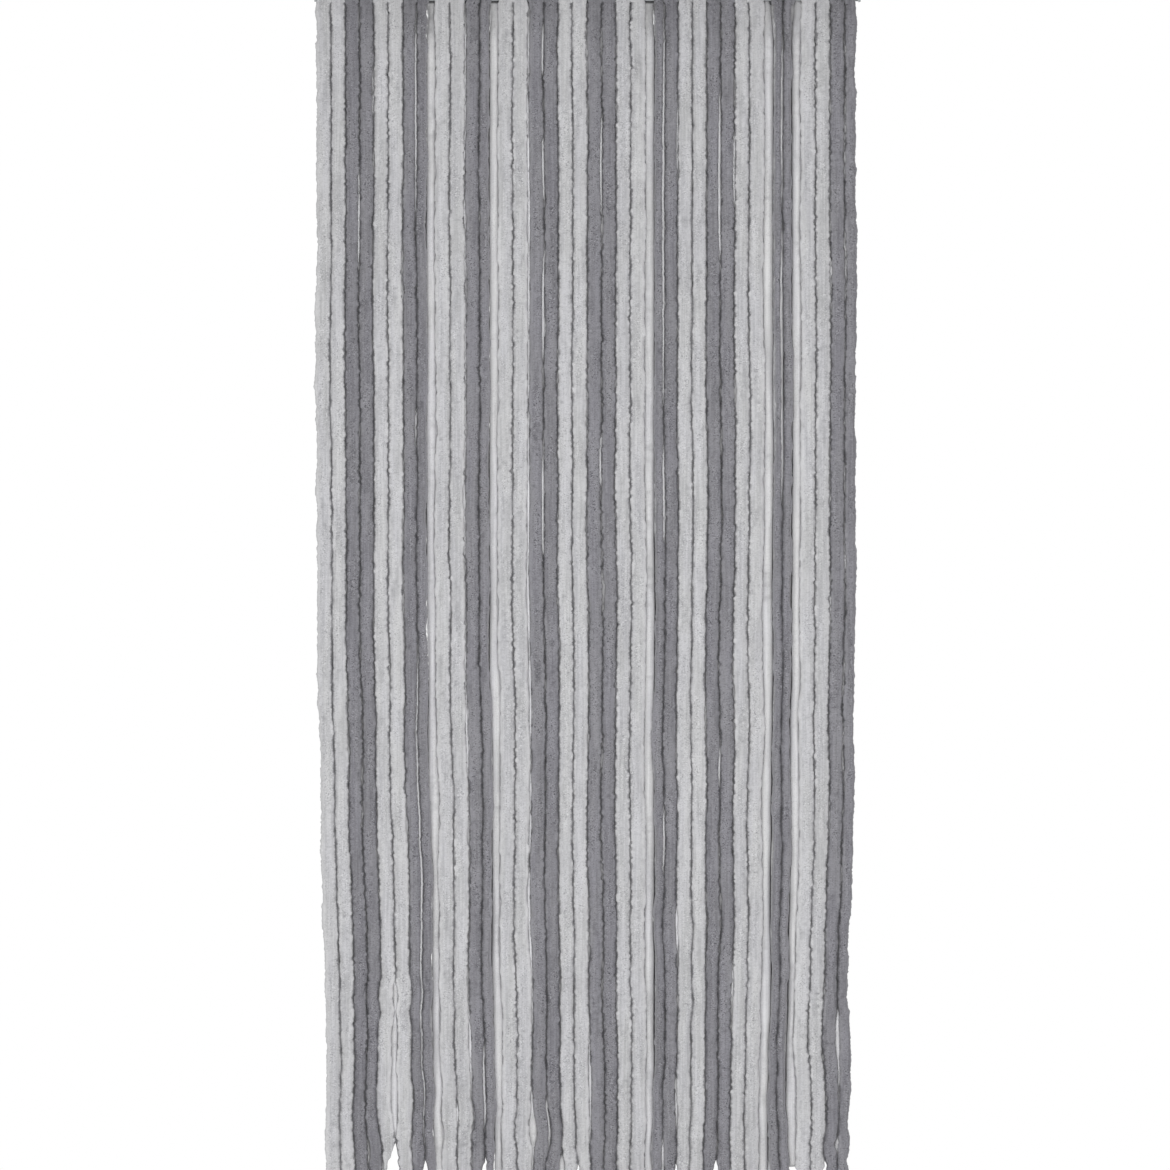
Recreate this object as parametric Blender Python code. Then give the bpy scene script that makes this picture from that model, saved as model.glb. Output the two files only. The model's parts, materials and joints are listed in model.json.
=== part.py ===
# Chenille fly curtain for a doorway: folded chenille cords hang in two rows
# on two steel wires, which run through tabs under an aluminium rail.
# Frame: metres, +Z up, X along the width, the front faces -Y,
# and the origin is the middle of the rail's flat top face.

from math import cos, pi, radians, sin

import bmesh
import bpy

for old in list(bpy.data.objects):
    bpy.data.objects.remove(old, do_unlink=True)

# Chenille cord: its full thickness, and where it is squeezed over the wire
strand_diameter = 0.022
squeezed_diameter = 0.009
strand_gap = 0.00175
settle_length = 0.034

# Hang of the two rows, from the rail's top face to the longest tips
front_drop = 2.008
rear_drop = 1.992
tip_spread = 0.012

# Folded cords in each row, and how far the strands draw together at the tips, and to which
# place along X, as a share of the front row's width
cord_count = 18
lean_share = 0.026
lean_middle_share = 0.1

# Wider gaps of each row: after which cord, as a share of the strand.
# The strands of the rear row hang behind the front gaps.
front_gap_shares = {
    3: 0.08,
    4: 0.28,
    5: 0.14,
    6: 0.30,
    7: 0.20,
    9: 0.06,
    11: 0.36,
    15: 0.40,
    16: 0.30,
}
rear_gap_shares = {2: 0.49, 5: 0.44, 6: 0.25, 10: 0.30, 17: 0.10}

# Steel wires
wire_diameter = 0.005
wire_chamfer = 0.0006
wire_clearance = 0.0004

# Aluminium rail: a flat flange under the lintel, with a web below its middle
flange_width = 0.046
flange_thickness = 0.003
web_thickness = 0.003
web_depth = 0.048
root_fillet = 0.0012
crown_clearance = 0.0006
web_clearance = 0.0004

# Tabs lanced out of the web, which carry the wires
tab_thickness = 0.002
tab_height = 0.012
tab_relief = 0.0008
front_tab_cords = (2, 6, 11, 15)
rear_tab_cords = (3, 7, 10, 14)

# Countersunk screw holes in the flange
screw_hole_diameter = 0.0045
screw_head_diameter = 0.0085
screw_land = 0.0008
screw_cords = (1, 5, 8, 13, 17)

# Plastic end caps
cap_thickness = 0.0046
cap_lip = 0.0012
cap_side_height = 0.009
cap_foot_width = 0.016
cap_corner = 0.0022
cap_rim = 0.001
cap_groove_depth = 0.002
cap_seat = 0.0003
cap_side_clearance = 0.0006
boss_diameter = 0.0105
boss_length = 0.008
boss_overlap = 0.001
bore_depth_in_plate = 0.0016

# Overrun of every cut past the face it opens in, and what joins the seam of a turned solid
overrun = 0.002
weld_distance = 0.000004

crown_segments = 6
settle_segments = 3
straight_segments = 2
tip_segments = 2
round_sides = 16

strand_radius = strand_diameter / 2
squeezed_radius = squeezed_diameter / 2
wire_radius = wire_diameter / 2
wire_hole_radius = wire_radius + wire_clearance
strand_pitch = strand_diameter + strand_gap
half_pitch = strand_pitch / 2

# The crown is a polygon round the wire, so its corners lie a little farther out
crown_radius = (wire_hole_radius + squeezed_radius) / cos(pi / crown_segments / 2)
crown_reach = crown_radius + squeezed_radius
wire_y = web_thickness / 2 + web_clearance + max(crown_reach, strand_radius)
wire_z = -(flange_thickness + crown_clearance + crown_reach)


def row_width(gap_shares):
    """Width of a row over its outer strands."""
    return 2 * cord_count * strand_pitch - strand_gap + sum(gap_shares.values()) * strand_diameter


def cord_centres(gap_shares):
    """Middle of each folded cord along X, left to right, with the row centred on the origin."""
    centres = []
    x = -row_width(gap_shares) / 2
    for number in range(1, cord_count + 1):
        centres.append(x + strand_diameter + strand_gap / 2)
        x += 2 * strand_pitch + gap_shares.get(number, 0) * strand_diameter
    return centres


front_centres = cord_centres(front_gap_shares)
rear_centres = cord_centres(rear_gap_shares)
widest_row = max(row_width(front_gap_shares), row_width(rear_gap_shares))
lean_middle_x = lean_middle_share * row_width(front_gap_shares)

cap_inner_x = widest_row / 2 + cap_side_clearance
rail_half_length = cap_inner_x + cap_groove_depth - cap_seat
wire_half_length = cap_inner_x + bore_depth_in_plate - cap_seat


def make_material(name, colour, roughness, metallic=0.0):
    material = bpy.data.materials.new(name)
    material.use_nodes = True
    shader = material.node_tree.nodes["Principled BSDF"]
    shader.inputs["Base Color"].default_value = (*colour, 1)
    shader.inputs["Roughness"].default_value = roughness
    shader.inputs["Metallic"].default_value = metallic
    material.diffuse_color = (*colour, 1)
    return material


light_chenille = make_material("light_chenille", (0.52, 0.52, 0.53), 0.95)
dark_chenille = make_material("dark_chenille", (0.21, 0.21, 0.23), 0.95)
pale_chenille = make_material("pale_chenille", (0.60, 0.60, 0.61), 0.95)
satin_aluminium = make_material("satin_aluminium", (0.62, 0.63, 0.64), 0.38, 1.0)
bright_steel = make_material("bright_steel", (0.56, 0.56, 0.57), 0.28, 1.0)
grey_plastic = make_material("grey_plastic", (0.42, 0.43, 0.44), 0.5)


def finish_mesh(name, mesh_data, material):
    """Object from a bmesh, closed and facing out, with its round walls shaded smooth."""
    bmesh.ops.recalc_face_normals(mesh_data, faces=mesh_data.faces)
    mesh = bpy.data.meshes.new(name)
    mesh_data.to_mesh(mesh)
    mesh_data.free()
    mesh.shade_smooth()
    mesh.set_sharp_from_angle(angle=radians(35))
    if material:
        mesh.materials.append(material)
    made = bpy.data.objects.new(name, mesh)
    bpy.context.scene.collection.objects.link(made)
    return made


def hide_helper(helper):
    helper.hide_render = True
    helper.display_type = "WIRE"
    return helper


def add_prism(mesh_data, outline, x_from, x_to):
    """A solid with the outline (y, z) that runs along X."""
    corners = [mesh_data.verts.new((x_from, y, z)) for y, z in outline]
    face = mesh_data.faces.new(corners)
    pulled = bmesh.ops.extrude_face_region(mesh_data, geom=[face])
    moved = [item for item in pulled["geom"] if isinstance(item, bmesh.types.BMVert)]
    bmesh.ops.translate(mesh_data, vec=(x_to - x_from, 0, 0), verts=moved)


def add_turned(mesh_data, profile, centre, along):
    """A turned solid: the profile lists (distance, radius) along the axis "x" or "z" from centre."""
    cx, cy, cz = centre
    if along == "x":
        places = [(cx + distance, cy + radius, cz) for distance, radius in profile]
        axis = (1, 0, 0)
    else:
        places = [(cx + radius, cy, cz + distance) for distance, radius in profile]
        axis = (0, 0, 1)
    line = [mesh_data.verts.new(place) for place in places]
    edges = [mesh_data.edges.new(pair) for pair in zip(line, line[1:])]
    bmesh.ops.spin(
        mesh_data, geom=line + edges, cent=centre, axis=axis, angle=2 * pi, steps=round_sides
    )
    bmesh.ops.remove_doubles(mesh_data, verts=mesh_data.verts, dist=weld_distance)


def cylinder_profile(start, end, radius, chamfer=0):
    """Closed profile of a cylinder, with its end edges chamfered."""
    if not chamfer:
        return [(start, 0), (start, radius), (end, radius), (end, 0)]
    return [
        (start, 0),
        (start, radius - chamfer),
        (start + chamfer, radius),
        (end - chamfer, radius),
        (end, radius - chamfer),
        (end, 0),
    ]


def arc(centre, radius, start_degrees, end_degrees, steps):
    """Points (y, z) on an arc, both ends included."""
    points = []
    for step in range(steps + 1):
        angle = radians(start_degrees + (end_degrees - start_degrees) * step / steps)
        points.append((centre[0] + radius * cos(angle), centre[1] + radius * sin(angle)))
    return points


def rail_outline(clearance=0.0, top=0.0):
    """The T section of the rail, or the same grown by a clearance."""
    half_flange = flange_width / 2 + clearance
    half_web = web_thickness / 2 + clearance
    under = -flange_thickness - clearance
    edge = flange_thickness / 4
    outline = [(-half_flange + edge, top), (-half_flange, top - edge)]
    outline += [(-half_flange, under + edge), (-half_flange + edge, under)]
    outline += arc((-half_web - root_fillet, under - root_fillet), root_fillet, 90, 0, 3)
    outline += arc((0, -web_depth + web_thickness / 2), half_web, 180, 360, 6)
    outline += arc((half_web + root_fillet, under - root_fillet), root_fillet, 180, 90, 3)
    outline += [(half_flange - edge, under), (half_flange, under + edge)]
    outline += [(half_flange, top - edge), (half_flange - edge, top)]
    return outline


def boundary_after(number, centres):
    """The place along X halfway between a cord and the next one of its row."""
    return (centres[number - 1] + centres[number]) / 2


def tab_places():
    """Place along X and side of Y of every tab."""
    places = [(boundary_after(number, front_centres), -1) for number in front_tab_cords]
    return places + [(boundary_after(number, rear_centres), 1) for number in rear_tab_cords]


def add_rail():
    """The T rail with its lanced tabs, their windows, the wire holes and the screw holes."""
    body = bmesh.new()
    add_prism(body, rail_outline(), -rail_half_length, rail_half_length)
    rail = finish_mesh("rail", body, satin_aluminium)

    tabs = bmesh.new()
    windows = bmesh.new()
    holes = bmesh.new()
    half_tab = tab_thickness / 2
    half_height = tab_height / 2
    tab_reach = wire_y + half_height - web_thickness / 2
    for x, side in tab_places():
        tip = arc((side * wire_y, wire_z), half_height, 90, 90 - 180 * side, 8)
        root = [(0, wire_z - half_height), (0, wire_z + half_height)]
        add_prism(tabs, tip + root, x - half_tab, x + half_tab)
        window_start = x + half_tab + tab_relief
        add_prism(
            windows,
            [
                (-web_thickness / 2 - overrun, wire_z - half_height),
                (web_thickness / 2 + overrun, wire_z - half_height),
                (web_thickness / 2 + overrun, wire_z + half_height),
                (-web_thickness / 2 - overrun, wire_z + half_height),
            ],
            window_start,
            window_start + tab_reach,
        )
        bore = cylinder_profile(-half_tab - overrun, half_tab + overrun, wire_hole_radius)
        add_turned(holes, bore, (x, side * wire_y, wire_z), "x")

    screw_y = (web_thickness / 2 + wire_y - wire_radius) / 2
    hole_radius = screw_hole_diameter / 2
    head_radius = screw_head_diameter / 2
    under = -flange_thickness
    for order, number in enumerate(screw_cords):
        side = -1 if order % 2 == 0 else 1
        centres = front_centres if side < 0 else rear_centres
        profile = [
            (under - overrun, 0),
            (under - overrun, head_radius),
            (under, head_radius),
            (-screw_land, hole_radius),
            (overrun, hole_radius),
            (overrun, 0),
        ]
        add_turned(holes, profile, (boundary_after(number, centres), side * screw_y, 0), "z")

    helpers = (("rail_tabs", tabs, "UNION"), ("rail_windows", windows, "DIFFERENCE"))
    helpers += (("rail_holes", holes, "DIFFERENCE"),)
    for name, data, operation in helpers:
        change = rail.modifiers.new(name, "BOOLEAN")
        change.operation = operation
        change.object = hide_helper(finish_mesh(name, data, None))
    return rail


def cap_outline():
    """The shield-shaped plate of an end cap, with rounded corners."""
    half_top = flange_width / 2 + cap_lip
    half_foot = cap_foot_width / 2
    foot = -web_depth - cap_lip
    shoulder = -cap_side_height
    return (
        [(-half_top, -cap_seat), (-half_top, shoulder)]
        + arc((-half_foot + cap_corner, foot + cap_corner), cap_corner, 200, 270, 4)
        + arc((half_foot - cap_corner, foot + cap_corner), cap_corner, 270, 340, 4)
        + [(half_top, shoulder), (half_top, -cap_seat)]
    )


def add_caps():
    """The two end caps: a plate with a groove for the rail's end and a socket for each wire."""
    plate = bmesh.new()
    add_prism(plate, cap_outline(), 0, cap_thickness)
    outer_rim = [
        edge for edge in plate.edges if all(v.co.x > cap_thickness / 2 for v in edge.verts)
    ]
    bmesh.ops.bevel(
        plate, geom=outer_rim, offset=cap_rim, segments=2, profile=0.5, affect="EDGES"
    )
    right = finish_mesh("end_cap_right", plate, grey_plastic)

    bosses = bmesh.new()
    cuts = bmesh.new()
    groove_outline = rail_outline(cap_seat, overrun)
    add_prism(cuts, groove_outline, -overrun, cap_groove_depth)
    for side in (-1, 1):
        centre = (0, side * wire_y, wire_z)
        boss = cylinder_profile(-boss_length, boss_overlap, boss_diameter / 2)
        add_turned(bosses, boss, centre, "x")
        bore = cylinder_profile(-boss_length - overrun, bore_depth_in_plate, wire_hole_radius)
        add_turned(cuts, bore, centre, "x")
    for name, data, operation in (("cap_bosses", bosses, "UNION"), ("cap_cuts", cuts, "DIFFERENCE")):
        change = right.modifiers.new(name, "BOOLEAN")
        change.operation = operation
        helper = hide_helper(finish_mesh(name, data, None))
        helper.location.x = cap_inner_x
        change.object = helper
    right.location.x = cap_inner_x

    # Modifiers are applied on the right cap before the left one shares its mesh
    bpy.context.view_layer.update()
    ready = right.evaluated_get(bpy.context.evaluated_depsgraph_get())
    mesh = bpy.data.meshes.new_from_object(ready)
    mesh.name = "end_cap"
    right.modifiers.clear()
    right.data = mesh
    left = bpy.data.objects.new("end_cap_left", mesh)
    left.location.x = -cap_inner_x
    left.rotation_euler.z = pi
    bpy.context.scene.collection.objects.link(left)


def add_wires():
    for name, side in (("front_wire", -1), ("rear_wire", 1)):
        data = bmesh.new()
        rod = cylinder_profile(-wire_half_length, wire_half_length, wire_radius, wire_chamfer)
        add_turned(data, rod, (0, 0, 0), "x")
        wire = finish_mesh(name, data, bright_steel)
        wire.location = (0, side * wire_y, wire_z)


def leg_stations(length, side, centre_x):
    """Points (x, y, z, radius) of one leg from the wire's level down, about the wire's axis."""
    stations = []
    for step in range(settle_segments + 1):
        t = step / settle_segments
        turn = pi / 2 * t * t * (3 - 2 * t)
        x = side * half_pitch * sin(turn)
        y = side * crown_radius * cos(turn)
        radius = squeezed_radius + (strand_radius - squeezed_radius) * (1 - cos(turn))
        stations.append((x, y, -settle_length * t, radius))

    def lean(z):
        share = lean_share * (-z - settle_length) / (length - settle_length)
        return side * half_pitch - (centre_x + side * half_pitch - lean_middle_x) * share

    straight_end = length - strand_radius
    for step in range(1, straight_segments + 1):
        z = -settle_length - (straight_end - settle_length) * step / straight_segments
        stations.append((lean(z), 0, z, strand_radius))
    for step in range(1, tip_segments + 1):
        turn = radians(70) * step / tip_segments
        z = -straight_end - strand_radius * sin(turn)
        stations.append((lean(z), 0, z, strand_radius * cos(turn)))
    return stations


def uneven(order):
    """How much shorter than the longest one a strand is, by its place in the row."""
    return tip_spread * (order * 5 % 7) / 6


def add_cord(name, centre_x, row_side, drop, order, material):
    """One cord folded over its wire: the left leg leaves the wire in front, the right one behind."""
    leg_length = drop + wire_z
    left = leg_stations(leg_length - uneven(2 * order), -1, centre_x)
    right = leg_stations(leg_length - uneven(2 * order + 1), 1, centre_x)
    crown = []
    for step in range(1, crown_segments):
        angle = pi * step / crown_segments
        crown.append((0, -crown_radius * cos(angle), crown_radius * sin(angle), squeezed_radius))
    points = left[::-1] + crown + right

    curve = bpy.data.curves.new(name, "CURVE")
    curve.dimensions = "3D"
    curve.bevel_depth = strand_radius
    curve.bevel_resolution = 2
    curve.use_fill_caps = True
    spline = curve.splines.new("POLY")
    spline.points.add(len(points) - 1)
    for point, (x, y, z, radius) in zip(spline.points, points):
        point.co = (x, y, z, 1)
        point.radius = radius / strand_radius
    spline.use_smooth = True
    curve.materials.append(material)
    cord = bpy.data.objects.new(name, curve)
    cord.location = (centre_x, row_side * wire_y, wire_z)
    bpy.context.scene.collection.objects.link(cord)


def add_rows():
    """Front row in pairs of light and dark strands, and a paler, shorter row behind it."""
    for order, centre_x in enumerate(front_centres):
        material = light_chenille if order % 2 == 0 else dark_chenille
        shade = "light" if order % 2 == 0 else "dark"
        name = f"front_cord_{order + 1:02d}_{shade}"
        add_cord(name, centre_x, -1, front_drop, order, material)
    for order, centre_x in enumerate(rear_centres):
        name = f"rear_cord_{order + 1:02d}_pale"
        add_cord(name, centre_x, 1, rear_drop, order + cord_count, pale_chenille)


add_rail()
add_caps()
add_wires()
add_rows()
print(f"rows {widest_row:.4f} m wide, wires at y {wire_y:.5f} and z {wire_z:.5f}")
print(f"cord length {2 * (front_drop + wire_z) + pi * crown_radius:.3f} m front")
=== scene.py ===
import json
from math import pi

import bmesh
import bpy
import numpy as np
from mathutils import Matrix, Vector


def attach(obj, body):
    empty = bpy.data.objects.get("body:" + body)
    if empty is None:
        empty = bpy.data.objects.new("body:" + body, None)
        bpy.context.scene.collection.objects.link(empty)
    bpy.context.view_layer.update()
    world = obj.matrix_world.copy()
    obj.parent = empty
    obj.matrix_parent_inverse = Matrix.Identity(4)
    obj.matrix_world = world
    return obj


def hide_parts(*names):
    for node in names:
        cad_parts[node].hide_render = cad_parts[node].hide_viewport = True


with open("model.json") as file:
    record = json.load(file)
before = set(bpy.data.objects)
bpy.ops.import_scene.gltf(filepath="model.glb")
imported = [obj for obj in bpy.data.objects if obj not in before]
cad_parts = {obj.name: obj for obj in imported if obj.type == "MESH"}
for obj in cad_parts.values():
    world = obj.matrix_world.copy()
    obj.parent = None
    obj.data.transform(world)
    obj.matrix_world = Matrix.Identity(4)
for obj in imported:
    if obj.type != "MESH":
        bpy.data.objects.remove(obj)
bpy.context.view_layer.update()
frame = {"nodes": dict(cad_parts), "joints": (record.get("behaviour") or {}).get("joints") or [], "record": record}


def addToScene(name, data):
    made = bpy.data.objects.new(name, data)
    bpy.context.scene.collection.objects.link(made)
    return made


# Picture: the photograph shows 1950 mm of the curtain, from just below the wires to the tips
picture = {
    "topOfView": -0.046,
    "heightOfView": 1.95,
    "centreX": -0.0042,
    "distance": 14.0,
    "sensor": 36.0,
    "clipEnd": 42.0,
}


def addCamera():
    lens = bpy.data.cameras.new("camera")
    lens.sensor_width = picture["sensor"]
    lens.lens = picture["sensor"] * picture["distance"] / picture["heightOfView"]
    lens.clip_end = picture["clipEnd"]
    camera = addToScene("camera", lens)
    middle = picture["topOfView"] - picture["heightOfView"] / 2
    camera.location = (picture["centreX"], -picture["distance"], middle)
    camera.rotation_euler = (pi / 2, 0, 0)
    bpy.context.scene.camera = camera
    print("camera placed")


addCamera()


# Chenille, in metres: the first sizes repeat the construction, the rest is how the pile lies
chenille = {
    "diameter": 0.022,
    "squeezed": 0.009,
    "halfPitch": 0.011875,
    "crownRadius": 0.00766,
    "crownGap": 0.00008,
    "settle": 0.034,
    "tipSpread": 0.005,
    "tipRound": 0.0090,
    "tipTurn": 1.38,
    "tipFullness": 0.75,
    # Rings over the wire, down to where a strand hangs beside its twin, and round the tip
    "crownRings": 8,
    "settleRings": 19,
    "tipRings": 6,
    # Pile round the core, and the room that its neighbours leave it
    "pileForward": 0.0115,
    "squareness": 0.80,
    "reach": 0.0156,
    "touchGap": 0.00005,
    "leastRoom": 0.004,
    "leastWidth": 0.003,
    "mostRoom": 0.010,
    "outerRoom": 1.0,
    # Relief, which fades where the pile is thin and is finer on the face than on the sides
    "fibreRelief": 0.00042,
    "tuftRelief": 0.00030,
    "lumpRelief": 0.00055,
    "edgeRelief": 0.00080,
    "reliefFade": 1.5,
    "faceFibre": 0.35,
    # Slow tone of a strand: its middle and how far strands differ
    "toneMiddle": 0.5,
    "toneSpread": 0.15,
    # Shade at the top: where it starts and fades out, and the dark band under the rail
    "topDepth": 0.046,
    "topFade": 0.09,
    "railDepth": 0.0520,
    "railShade": (0.045, 0.0525, 0.9),
    # Beside an opening there is no painted crevice shadow: most room that counts, and how much that adds
    "openRoom": 0.002,
    "openGain": 4,
    # Painted flank highlight, with a start and a width: place across the strand, and room beside it
    "flankPlace": (0.5, 0.4),
    "flankRoom": (0.0012, 0.0015),
}

# How both rows hang, in metres below the rail's top
hang = {
    # Both rows draw together towards the tips
    "drawStart": 0.95,
    "drawEnd": 2.0,
    "drawMost": 1.05,
    "drawCurve": 1.15,
    "drawShare": 0.038,
    "drawTo": 0.09,
    # Sway: its share at the top, how much it grows to the tips, and how fast
    "swayTop": 0.30,
    "swayGrowth": 0.85,
    "swayCurve": 1.4,
    "swayFrom": 0.12,
    "swayInwards": 0.25,
    "swayForward": 0.9,
    # A parting moves each further neighbour by this share of the one before it
    "partShare": 0.55,
    "partCurve": 1.5,
    "sliverCurve": 0.5,
    # Light strands take this much from dark ones at the tips, and this share of it at the top
    "lightPlumper": 0.0011,
    "plumperTop": 0.2,
    # Below the crown, a strand's place and width change over these depths
    "freeFrom": 0.036,
    "freeOver": 0.016,
    "forwardOver": 0.060,
    "slimShare": 0.50,
    "slimShift": 0.0030,
    "slimFrom": 0.02,
    "slimOver": 0.03,
    # Rear strands come forward into the openings of the front row
    "probeDepth": 0.5,
    "pushForward": 0.0125,
    "bulgeReach": 0.0150,
    "behindFront": 0.0006,
    "backStretch": 0.33,
    "clearFrom": 0.0004,
    "clearOver": 0.0018,
    "weightFrom": 0.0015,
    "openingExtra": 0.0001,
    "openingLeast": 0.0004,
    "smoothRings": 9,
    "slimOpening": 0.0044,
    # Wedges and drift
    "pictureFoot": 1.996,
    "wedgeMost": 1.3,
    "wedgeCurve": 0.75,
    "driftFrom": 1.15,
    "driftOver": 0.85,
    "driftCurve": 1.3,
}

# The three yarns: how far the pile spreads sideways, how much painted shade it has under the rail,
# colours in linear light with a painted highlight (rim) and a painted crevice shadow (shadow),
# and how strongly streaks, specks, bumps and sheen show
yarns = {
    "light": {
        "spread": 0.0129,
        "topShade": 0.09,
        "colour": (0.432, 0.432, 0.442),
        "hollow": (0.225, 0.225, 0.235),
        "tip": (0.63, 0.63, 0.642),
        "rim": (0.72, 0.72, 0.73),
        "seam": (0.172, 0.171, 0.180),
        "streaks": 0.18,
        "specks": 0.72,
        "bump": 0.30,
        "sheen": 0.25,
    },
    "dark": {
        "spread": 0.0121,
        "topShade": 0.20,
        "colour": (0.196, 0.193, 0.210),
        "hollow": (0.075, 0.074, 0.082),
        "tip": (0.30, 0.297, 0.318),
        "rim": (0.33, 0.327, 0.35),
        "seam": (0.0745, 0.0735, 0.0805),
        "streaks": 0.22,
        "specks": 1.0,
        "bump": 0.30,
        "sheen": 0.18,
    },
    "pale": {
        "spread": 0.0129,
        "topShade": 0.10,
        "colour": (0.57, 0.57, 0.578),
        "hollow": (0.34, 0.34, 0.348),
        "tip": (0.76, 0.76, 0.765),
        "rim": (0.89, 0.89, 0.91),
        "seam": (0.33, 0.33, 0.335),
        "streaks": 0.12,
        "specks": 0.35,
        "bump": 0.25,
        "sheen": 0.25,
    },
}


# Each row: how it hangs, where its strands part, where pale slivers and white wedges show between
# them, and which strands end shorter or stand aside. Strands are numbered from the left
rows = {
    "front": {
        "drop": 2.010,
        "firstOrder": 0,
        "outward": -1,
        "sides": 20,
        "evenness": 0.62,
        "straightRings": 760,
        "sway": 1.0,
        "creviceWave": 1.0,
        "slimRight": (8, 12, 32),
        "slimLeft": (23, 31),
        "partings": (
            # after strand, depth of the middle, half height, width (below 0 draws them together)
            (5, 1.704, 0.034, 0.0115),
            (5, 1.775, 0.050, 0.0135),
            (5, 1.871, 0.088, 0.0170),
            (9, 1.905, 0.040, 0.0090),
            (14, 1.930, 0.038, 0.0100),
            (16, 1.990, 0.030, 0.0120),
            (18, 1.863, 0.125, 0.0050),
            (23, 1.975, 0.055, 0.0090),
            (24, 1.588, 0.050, 0.0045),
            (24, 1.717, 0.028, 0.0040),
            (24, 1.888, 0.060, 0.0050),
            (28, 1.671, 0.048, 0.0045),
            (35, 0.905, 0.070, -0.0020),
            (35, 1.774, 0.062, 0.0085),
            (35, 1.952, 0.028, 0.0110),
        ),
        "slivers": (
            # after strand, depth of the middle, half height, width taken from the left strand
            (3, 0.410, 0.080, 0.0034),
            (4, 0.205, 0.045, 0.0026),
            (7, 0.230, 0.190, 0.0040),
            (7, 0.760, 0.035, 0.0034),
            (7, 1.540, 0.440, 0.0042),
            (11, 1.858, 0.075, 0.0045),
            (15, 0.130, 0.045, 0.0036),
            (15, 0.330, 0.055, 0.0038),
            (15, 0.560, 0.090, 0.0044),
            (15, 0.885, 0.085, 0.0038),
            (15, 1.920, 0.042, 0.0040),
            (19, 0.320, 0.085, 0.0040),
            (19, 0.815, 0.040, 0.0036),
            (23, 0.385, 0.350, 0.0046),
            (23, 0.870, 0.085, 0.0046),
            (23, 1.445, 0.060, 0.0042),
            (24, 0.280, 0.075, 0.0026),
            (27, 0.340, 0.145, 0.0052),
            (27, 1.325, 0.035, 0.0038),
            (28, 0.330, 0.065, 0.0034),
            (31, 0.240, 0.165, 0.0042),
            (31, 0.655, 0.240, 0.0055),
        ),
        "wedges": (
            # after strand, depth where it starts, width at the picture's foot, left strand's share
            (5, 1.952, 0.0225, 0.95),
            (7, 1.978, 0.0085, 0.5),
            (11, 1.975, 0.0075, 0.5),
            (17, 1.985, 0.0045, 0.5),
            (24, 1.985, 0.0045, 0.5),
            (27, 1.978, 0.0085, 0.5),
            (32, 1.982, 0.0085, 0.5),
            (34, 1.982, 0.0070, 0.5),
        ),
        "shorter": {},
        "nudged": {35: 0.0008, 36: 0.0020},
        "drift": {36: -0.0035},
        "trimmed": {36: 0.0062},
        "seed": 300,
    },
    "rear": {
        "drop": 2.006,
        "firstOrder": 18,
        "outward": 1,
        "sides": 20,
        "evenness": 1.0,
        "straightRings": 560,
        "sway": 0.8,
        "creviceWave": 0.5,
        "slimRight": (),
        "slimLeft": (),
        "partings": (),
        "slivers": (),
        "wedges": (),
        "shorter": {
            5: 0.052,
            7: 0.027,
            11: 0.030,
            17: 0.018,
            24: 0.018,
            27: 0.027,
            33: 0.012,
            35: 0.024,
        },
        "nudged": {
            5: -0.0050,
            6: -0.0030,
            7: -0.0015,
            27: 0.0010,
            28: 0.0022,
            29: 0.0045,
            30: 0.0075,
            31: 0.0032,
            32: -0.0015,
            33: -0.0060,
            34: -0.0035,
            35: -0.0015,
        },
        "drift": {36: -0.0030},
        "trimmed": {36: 0.0090},
        "seed": 700,
    },
}


def readRow(name):
    # The wires' place, the cords' bodies and the strands' middles come from the frame
    row = rows[name]
    swings = [j for j in frame["joints"] if j["child"].startswith(name + "_cord")]
    swings.sort(key=lambda j: j["pos_m"][0])
    row["bodies"] = [j["child"] for j in swings]
    row["nodes"] = [frame["record"]["behaviour"]["bodies"][j["child"]][0] for j in swings]
    row["wire"] = Vector(swings[0]["pos_m"])
    legs = [(swing["pos_m"][0], side) for swing in swings for side in (-1, 1)]
    row["top"] = np.array([x + side * chenille["halfPitch"] for x, side in legs])
    strands = len(row["top"])
    random = np.random.default_rng(row["seed"])
    row["swayPhases"] = random.uniform(0, 2 * pi, (2, len(swayWaves)))
    row["ownPhases"] = random.uniform(0, 2 * pi, (strands, 2, len(ownWaves)))
    row["crevicePhases"] = random.uniform(0, 2 * pi, (strands + 1, 2 * len(creviceWaves)))
    row["loose"] = random.uniform(*looseness, strands)
    row["teeth"] = random.uniform(*raggedness, strands + 1)


# Least and most of a strand's own sway, and of the fine teeth of a crevice
looseness = (0.5, 1.4)
raggedness = (0.35, 1.25)

# Waves: length and height in metres, and for the shared sway how far it reaches along the row
swayWaves = ((0.71, 0.0016, 0.55), (0.43, 0.0012, 0.31), (0.27, 0.0008, 0.22))
ownWaves = ((0.52, 0.0008), (0.31, 0.0007), (0.17, 0.0005), (0.093, 0.0004))
creviceWaves = (
    (0.113, 0.00065),
    (0.061, 0.00060),
    (0.037, 0.00054),
    (0.0221, 0.00068),
    (0.0137, 0.00064),
    (0.0089, 0.00058),
)
# Waves shorter than this make the teeth, and each wave swells and fades over some of its lengths
toothLength = 0.03
swell = {"lengths": 7.3, "share": 0.4}


def swayOf(row, leg, depth, axis):
    # Slow sway that neighbours share, with a smaller one of the strand's own
    sway = np.zeros_like(depth)
    for (length, height, reach), phase in zip(swayWaves, row["swayPhases"][axis]):
        sway += height * np.sin(2 * pi * (depth / length + row["top"][leg] / reach) + phase)
    for (length, height), phase in zip(ownWaves, row["ownPhases"][leg, axis]):
        sway += height * row["loose"][leg] * np.sin(2 * pi * depth / length + phase)
    growth = hang["swayGrowth"] * np.clip(depth / hang["drawEnd"], 0, 1) ** hang["swayCurve"]
    start = np.clip(depth / hang["swayFrom"], 0, 1)
    return sway * (hang["swayTop"] + growth) * start * row["sway"]


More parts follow.
